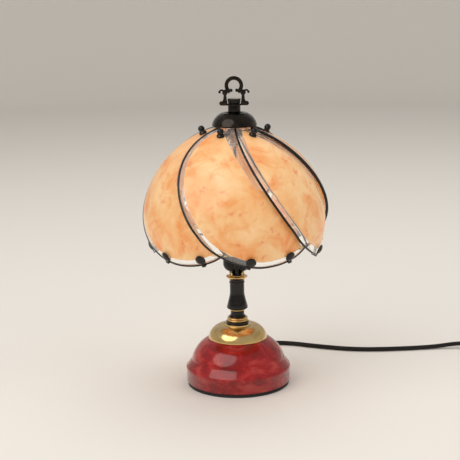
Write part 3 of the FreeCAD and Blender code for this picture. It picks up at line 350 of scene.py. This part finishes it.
bronze, tree, shader = finish("dark_bronze", bronze_brown, Metallic=0.9, Coat_Weight=0.3)
rub = place_noise(tree, scale=110, detail=5, rough=0.65, warp=0.6)
patina = ramp(tree, rub, (0.38, bronze_dark), (0.64, bronze_brown), (0.84, bronze_rubbed))
tree.links.new(patina, shader.inputs["Base Color"])
uneven_gloss(tree, shader, rub, (0.3, 0.16), (0.75, 0.36))
bump(tree, shader, place_noise(tree, scale=380, detail=3, rough=0.6), strength=0.12, distance=0.0004)
dress(bronze, "crown_cap", "cap_neck", "fluted_cup", "loop_finial")
soften("crown_cap", width=0.0004, body="shade")
soften("cap_neck", width=0.0003, body="shade")
soften("fluted_cup", width=0.0002, body="shade")
soften("loop_finial", width=0.0006, body="shade")


# The glass carries a painted glow, an emission of its own colour that stands in for the bulb's light
# shining through it.
# Swirl glass panels
# Six bent panels of cream art glass with amber and peach marbling, each with a clear polished border.
# They overlap like petals: the left edge stands proud and the right edge tucks under the next panel.
# Lengths are in metres and angles in degrees.

panel_count = 6
glass_thickness = 0.0025
shade_radius = 0.0995
shade_half_height = 0.098
shade_belly = 0.187
shade_fullness = 1.9
panel_span = 67.0
panel_sink = 0.005
panel_top_turn = 12.6
lead_start = -58.0
lead_start_turn = 19.7
lead_slope = 0.233
lead_bend = 0.003225
corner_width = 0.38
corner_height = 19.3
belly_turn = 96.0
hem_sweep = 47.0
clear_border = 0.0072
clear_fade = 0.0006
clear_wander = 0.0008
border_reach = 0.03
trailing_border = 0.007
trailing_end = 0.45
trailing_fade = 0.05
edging_inward = 0.0014
edging_outward = 0.0007
edging_proud = 0.0003
edging_corners = 16
edging_squareness = 0.6
left_steps = 60
low_steps = 100
right_steps = 50
normal_reach = 0.001

glass_peach = (0.74, 0.36, 0.13, 1)
glass_cream = (0.78, 0.50, 0.25, 1)
glass_amber = (0.72, 0.23, 0.05, 1)
glass_spot = (0.62, 0.075, 0.02, 1)
glass_clear = (0.97, 0.96, 0.93, 1)
glass_shift = Vector((0.37, 0.61, 0.23))


def skin(place, turn, depth=0.0):
    """Point on a panel's outer skin, or some depth over it.

    Place runs across from the left edge, 0 to 1, and turn runs down the shade, in degrees.
    """
    across = math.sin(math.radians(turn)) ** (2 / shade_fullness)
    cosine = math.cos(math.radians(turn))
    down = math.copysign(abs(cosine) ** (2 / shade_fullness), cosine)
    slope = Vector((
        across ** (shade_fullness - 1) / shade_radius,
        math.copysign(abs(down) ** (shade_fullness - 1), down) / shade_half_height,
    )).normalized()
    radius = shade_radius * across + (depth - panel_sink * place) * slope.x
    height = shade_belly + shade_half_height * down + (depth - panel_sink * place) * slope.y
    step = turn - lead_start_turn
    angle = math.radians(lead_start + lead_slope * step + lead_bend * step * step + panel_span * place)
    return Vector((radius * math.sin(angle), -radius * math.cos(angle), height))


def hem(step):
    """Place and turn along the lower rim: the rounded left corner is steps 0 to 1, the sweep 1 to 2."""
    if step < 1:
        angle = math.pi * (1 - step / 2)
        return corner_width * (1 + math.cos(angle)), belly_turn + corner_height * math.sin(angle)
    place = corner_width + (1 - corner_width) * (step - 1)
    fall = 1 - math.sqrt(1 - (place - corner_width) ** 2)
    return place, belly_turn + corner_height - hem_sweep * fall


def side(first, last, steps):
    """Places and turns evenly along one straight side of a panel."""
    return [[a + (b - a) * k / steps for a, b in zip(first, last)] for k in range(steps + 1)]


left_side = side((0, panel_top_turn), (0, belly_turn), left_steps)
low_side = [hem(2 * k / low_steps) for k in range(low_steps + 1)]
right_side = side(hem(2), (1, panel_top_turn), right_steps)


def panel_mesh():
    """The front panel, warped from a flat grid, with each point's distance from the rim in a UV map."""
    sheet = bmesh.new()
    bmesh.ops.create_grid(sheet, x_segments=56, y_segments=64, size=0.5)
    rim = [skin(*point) for point in left_side + low_side + right_side]
    trailing = [skin(*point) for point in right_side]
    border = sheet.loops.layers.uv.new("border")
    reach = {}
    for vertex in sheet.verts:
        place, low = hem(2 * (vertex.co.x + 0.5))
        down = vertex.co.y + 0.5
        spot = skin(place, low + (panel_top_turn - low) * down)
        wider = trailing_border * min(max((down - trailing_end) / trailing_fade, 0), 1)
        near = min((spot - point).length for point in rim)
        near = max(min(near, min((spot - point).length for point in trailing) - wider), 0)
        reach[vertex.index] = (min(near, border_reach) / border_reach, place)
        vertex.co = spot
    for face in sheet.faces:
        for corner in face.loops:
            corner[border].uv = reach[corner.vert.index]
    return smooth_mesh("glass_panel", sheet)


def border_frames(points):
    """Each point of a border on the skin, with the way past the border and the way out of the glass."""
    spots = [skin(*point) for point in points]
    frames = []
    for k, here in enumerate(spots):
        along = spots[min(k + 1, len(spots) - 1)] - spots[max(k - 1, 0)]
        out = (skin(*points[k], normal_reach) - here).normalized()
        frames.append([here, along.cross(out).normalized(), out])
    return frames


def edging_mesh():
    """Soft-cornered band round the left edge, hem and right edge of the front panel."""
    first = border_frames(left_side[:-1] + low_side)
    second = border_frames(right_side)
    mitre = first[-1][1] + second[0][1]
    first[-1][1] = mitre / (1 + first[-1][1].dot(second[0][1]))
    band = bmesh.new()
    half_width = (edging_inward + edging_outward) / 2
    half_depth = glass_thickness / 2 + edging_proud
    rings = []
    for here, past, out in first + second[1:]:
        ring = bmesh.ops.create_circle(band, segments=edging_corners, radius=1)["verts"]
        middle = here + past * (edging_outward - half_width) - out * (glass_thickness / 2)
        for vertex in ring:
            x, y = (math.copysign(abs(v) ** edging_squareness, v) for v in vertex.co.xy)
            vertex.co = middle + past * (half_width * x) + out * (half_depth * y)
        rings.append([edge for edge in band.edges if edge.verts[0] in ring and edge.verts[1] in ring])
    for a, b in zip(rings, rings[1:]):
        bmesh.ops.bridge_loops(band, edges=a + b)
    bmesh.ops.holes_fill(band, edges=rings[0] + rings[-1])
    bmesh.ops.recalc_face_normals(band, faces=band.faces)
    return smooth_mesh("panel_edging", band)


def blend(tree, factor, under, over):
    """Colour between two, each a plain colour or a socket."""
    node = tree.nodes.new("ShaderNodeMix")
    node.data_type = "RGBA"
    tree.links.new(factor, node.inputs[0])
    for value, socket in ((under, node.inputs[6]), (over, node.inputs[7])):
        if isinstance(value, tuple):
            socket.default_value = value
        else:
            tree.links.new(value, socket)
    return node.outputs[2]


def between(tree, factor, low, high):
    """Plain number that runs from low to high as the factor runs from 0 to 1."""
    node = tree.nodes.new("ShaderNodeMapRange")
    node.inputs["To Min"].default_value = low
    node.inputs["To Max"].default_value = high
    tree.links.new(factor, node.inputs["Value"])
    return node.outputs["Result"]


def marbled_glass_painted_glow(name, seed):
    """Marbled glass with a painted glow standing in for the bulb's light, turning clear towards the
    panel's rim, its pattern moved by a seed.
    """
    material, tree, shader = finish(name, glass_cream, IOR=1.5, Coat_Weight=0.1, Coat_Roughness=0.05)

    def patches(under, over, start, end, cover, **pattern):
        """Lays one colour over another where the noise is strong, up to a share that it covers."""
        noise = place_noise(tree, shift=glass_shift * seed, **pattern)
        return blend(tree, ramp(tree, noise, (start, grey(0)), (end, grey(cover))), under, over)

    wash = patches(
        glass_peach, glass_cream, start=0.38, end=0.62, cover=1,
        scale=24, detail=5, rough=0.6, warp=0.3,
    )
    cloud = patches(
        wash, glass_amber, start=0.48, end=0.68, cover=0.85,
        scale=42, detail=6, rough=0.62, warp=0.5,
    )
    spots = patches(
        cloud, glass_spot, start=0.60, end=0.80, cover=0.8,
        scale=95, detail=5, rough=0.6, warp=0.3,
    )

    border = tree.nodes.new("ShaderNodeUVMap")
    border.uv_map = "border"
    split = tree.nodes.new("ShaderNodeSeparateXYZ")
    tree.links.new(border.outputs["UV"], split.inputs["Vector"])
    ripple = place_noise(tree, scale=140, detail=4, rough=0.6, warp=0.5, shift=glass_shift * seed)
    wander = clear_wander / border_reach
    rim = tree.nodes.new("ShaderNodeMath")
    tree.links.new(split.outputs["X"], rim.inputs[0])
    tree.links.new(between(tree, ripple, -wander, wander), rim.inputs[1])
    start = clear_border / border_reach
    end = start + clear_fade / border_reach
    inside = ramp(tree, rim.outputs[0], (start, grey(0)), (end, grey(1)))
    colour = blend(tree, inside, glass_clear, spots)
    tree.links.new(colour, shader.inputs["Base Color"])
    # Painted glow: the glass emits its own colour, stronger on the marbling and faint on the clear border,
    # in place of the bulb's light shining through.
    tree.links.new(colour, shader.inputs["Emission Color"])
    tree.links.new(between(tree, inside, low=1.0, high=0.0), shader.inputs["Transmission Weight"])
    tree.links.new(between(tree, inside, low=0.04, high=0.20), shader.inputs["Emission Strength"])
    tree.links.new(between(tree, inside, low=0.02, high=0.25), shader.inputs["Roughness"])
    return material


front_panel = panel_mesh()
for k in range(panel_count):
    mesh = front_panel.copy()
    mesh.transform(Matrix.Rotation(2 * math.pi * k / panel_count, 4, "Z"))
    mesh.materials.append(marbled_glass_painted_glow(f"marbled_glass_painted_glow_{k + 1}", k + 1))
    panel = new_object(f"swirl_glass_{k + 1}", mesh)
    wall = panel.modifiers.new("glass_thickness", "SOLIDIFY")
    wall.thickness = glass_thickness
    wall.offset = -1
    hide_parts(f"glass_panel_{k + 1}")
    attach(panel, "shade")

all_bands = bmesh.new()
front_band = edging_mesh()
for k in range(panel_count):
    turned_band = front_band.copy()
    turned_band.transform(Matrix.Rotation(2 * math.pi * k / panel_count, 4, "Z"))
    all_bands.from_mesh(turned_band)
mesh = smooth_mesh("edging_bands", all_bands)
mesh.materials.append(lacquer)
edging = new_object("edging_bands", mesh)
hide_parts("panel_edging")
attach(edging, "shade")


# Mains cord, in-line switch and plug
# A round black flex leaves a tapered grommet at the back, lies along the table and is coiled to the right.
# A slim two-part switch sits on it before the coil, and a flat plug ends it.

cord_diameter = 0.005
cord_to_switch = [
    (0, 0.078, 0.0115), (0, 0.094, 0.0115), (0.006, 0.114, 0.0068), (0.026, 0.132, 0.0029),
    (0.059, 0.134, 0.0027), (0.097, 0.116, 0.0027), (0.141, 0.101, 0.0027), (0.190, 0.101, 0.0027),
    (0.236, 0.107, 0.0027), (0.260, 0.108, 0.006), (0.277, 0.108, 0.006),
]
switch_length = 0.056
cord_after_switch = [
    (0, 0, 0), (0.019, 0, 0), (0.0355, -0.0095, -0.0009), (0.045, -0.026, -0.0022),
    (0.045, -0.045, -0.0022),
]
coil_layers = 4
coil_pitch = 0.00575
coil_turns_in_layer = 2
coil_climb_turns = 0.25
coil_last_turns = 1.25
coil_middle_radius = 0.027
coil_points_in_turn = 24
cord_tail = [
    (0, 0, 0), (0, -0.010, 0), (0.0006, -0.027, -0.0016), (0.0016, -0.045, -0.011),
    (0.0016, -0.058, -0.0134), (0.0016, -0.070, -0.0134),
]

flex, tree, shader = finish("black_flex", (0.008, 0.007, 0.006, 1), Specular_IOR_Level=0.3)
uneven_gloss(tree, shader, place_noise(tree, scale=240, detail=3, rough=0.5), (0.3, 0.38), (0.7, 0.52))
dress(flex, "cord_gland", "plug_body", "coil_tie", "lead_wires")

switch_plastic, tree, shader = finish(
    "switch_moulding", (0.010, 0.009, 0.008, 1), Specular_IOR_Level=0.3
)
uneven_gloss(tree, shader, place_noise(tree, scale=500, detail=3, rough=0.5), (0.3, 0.34), (0.7, 0.46))
bump(tree, shader, place_noise(tree, scale=1500, detail=2, rough=0.5), strength=0.12, distance=0.0002)
dress(switch_plastic, "switch_base", "switch_cover", "switch_rocker")
soften("cord_gland", width=0.0004)
soften("switch_base", width=0.0007)
soften("switch_cover", width=0.0007)
soften("plug_body", width=0.0008)
soften("coil_tie", width=0.0005)


def flex_piece(name, points):
    """Round flex along a smooth line that the route's points pull into shape."""
    line = bpy.data.curves.new(name, "CURVE")
    line.dimensions = "3D"
    line.bevel_depth = cord_diameter / 2
    line.bevel_resolution = 5
    line.resolution_u = 6
    line.use_fill_caps = True
    spline = line.splines.new("NURBS")
    spline.points.add(len(points) - 1)
    for point, spot in zip(spline.points, points):
        point.co = (*spot, 1)
    spline.order_u = 3
    spline.use_endpoint_u = True
    line.materials.append(flex)
    piece = new_object(name, line)
    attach(piece, "lamp")
    return piece


def coil_spot(turns):
    """Radius and rise of the coil's middle line after so many turns: in, up, out, up and so on."""
    half = coil_turns_in_layer * coil_pitch / 2
    layer_turns = coil_turns_in_layer + coil_climb_turns
    layer = min(int(turns / layer_turns), coil_layers - 1)
    along = turns - layer * layer_turns
    start, end = (half, -half) if layer % 2 == 0 else (-half, half)
    share = min(along / coil_turns_in_layer, 1)
    lift = max(along - coil_turns_in_layer, 0) / coil_climb_turns
    rise = (1 - math.cos(math.pi * lift)) / 2
    return coil_middle_radius + start + (end - start) * share, (layer + rise) * coil_pitch


near_cord = flex_piece("flex_to_switch", cord_to_switch)
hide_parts("power_cord")

leave = Vector(cord_to_switch[-1]) + Vector((switch_length, 0, 0))
route = [leave + Vector(step) for step in cord_after_switch]
coil_radius, _ = coil_spot(0)
centre = route[-1] + Vector((-coil_radius, -cord_diameter, 0))
coil_turns = (coil_layers - 1) * (coil_turns_in_layer + coil_climb_turns) + coil_last_turns
for k in range(round(coil_turns * coil_points_in_turn) + 1):
    turns = k / coil_points_in_turn
    radius, rise = coil_spot(turns)
    angle = -2 * math.pi * turns
    route.append(centre + Vector((radius * math.cos(angle), radius * math.sin(angle), rise)))
tail_start = route[-1] + Vector((0, -cord_diameter, 0))
route += [tail_start + Vector(step) for step in cord_tail]
far_cord = flex_piece("flex_to_plug", route)
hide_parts("cord_after_switch", "cord_coil", "cord_tail")


# Photo set
# A pale round floor that curves up into a wall, and soft lamps in a softly lit room.
# The camera stands in front, looks down a little and is rolled slightly, as the photograph was taken.

floor_colour = (0.80, 0.77, 0.73, 1)
floor_reach = 3.0
floor_steps = 96
wall_curve = 0.8
wall_curve_steps = 16
wall_height = 0.8
lamps_aim = Vector((0, 0, 0.17))

paper, tree, shader = finish("pale_floor", floor_colour, Roughness=0.85)
outline = [(0, 0)]
for k in range(wall_curve_steps + 1):
    angle = math.pi / 2 * k / wall_curve_steps
    outline.append((floor_reach + wall_curve * math.sin(angle), wall_curve * (1 - math.cos(angle))))
outline.append((floor_reach + wall_curve, wall_curve + wall_height))
sweep = bmesh.new()
spin_outline(sweep, outline, floor_steps)
bmesh.ops.remove_doubles(sweep, verts=sweep.verts, dist=weld_distance)
mesh = smooth_mesh("floor_sweep", sweep)
mesh.materials.append(paper)
floor = new_object("floor_sweep", mesh)


def soft_lamp(name, place, size, power, colour, mirrored):
    """Round lamp aimed at the shade, which glossy surfaces mirror or not."""
    lamp = bpy.data.lights.new(name, "AREA")
    lamp.shape = "DISK"
    lamp.size = size
    lamp.energy = power
    lamp.color = colour
    holder = new_object(name, lamp)
    holder.location = place
    holder.visible_glossy = mirrored
    aim = lamps_aim - Vector(place)
    holder.rotation_euler = aim.to_track_quat("-Z", "Y").to_euler()


soft_lamp("key_lamp", (-1.3, -1.3, 1.9), size=2.6, power=36, colour=(1.0, 0.97, 0.93), mirrored=True)
soft_lamp("fill_lamp", (1.6, -0.9, 1.4), size=2.2, power=12, colour=(1.0, 0.98, 0.96), mirrored=False)
soft_lamp("top_lamp", (0.2, 0.6, 2.0), size=2.0, power=14, colour=(1.0, 0.96, 0.9), mirrored=False)

world = bpy.data.worlds.new("soft_room")
world.use_nodes = True
background = world.node_tree.nodes["Background"]
background.inputs["Color"].default_value = (0.95, 0.93, 0.90, 1)
background.inputs["Strength"].default_value = 0.45
bpy.context.scene.world = world
bpy.context.scene.view_settings.view_transform = "Standard"

camera_place = Vector((-0.0066, -1.2768, 0.4354))
camera_pitch = math.radians(11.71)
camera_roll = math.radians(-0.97)
camera_lens = 94.85
camera_film = 36

forward = Vector((0, math.cos(camera_pitch), -math.sin(camera_pitch)))
level = Vector((1, 0, 0))
upright = level.cross(forward)
right = level * math.cos(camera_roll) + upright * math.sin(camera_roll)
above = upright * math.cos(camera_roll) - level * math.sin(camera_roll)
lens = bpy.data.cameras.new("photo_camera")
lens.lens = camera_lens
lens.sensor_width = camera_film
camera = new_object("photo_camera", lens)
camera.matrix_world = Matrix((
    (right.x, above.x, -forward.x, camera_place.x),
    (right.y, above.y, -forward.y, camera_place.y),
    (right.z, above.z, -forward.z, camera_place.z),
    (0, 0, 0, 1),
))
bpy.context.scene.camera = camera
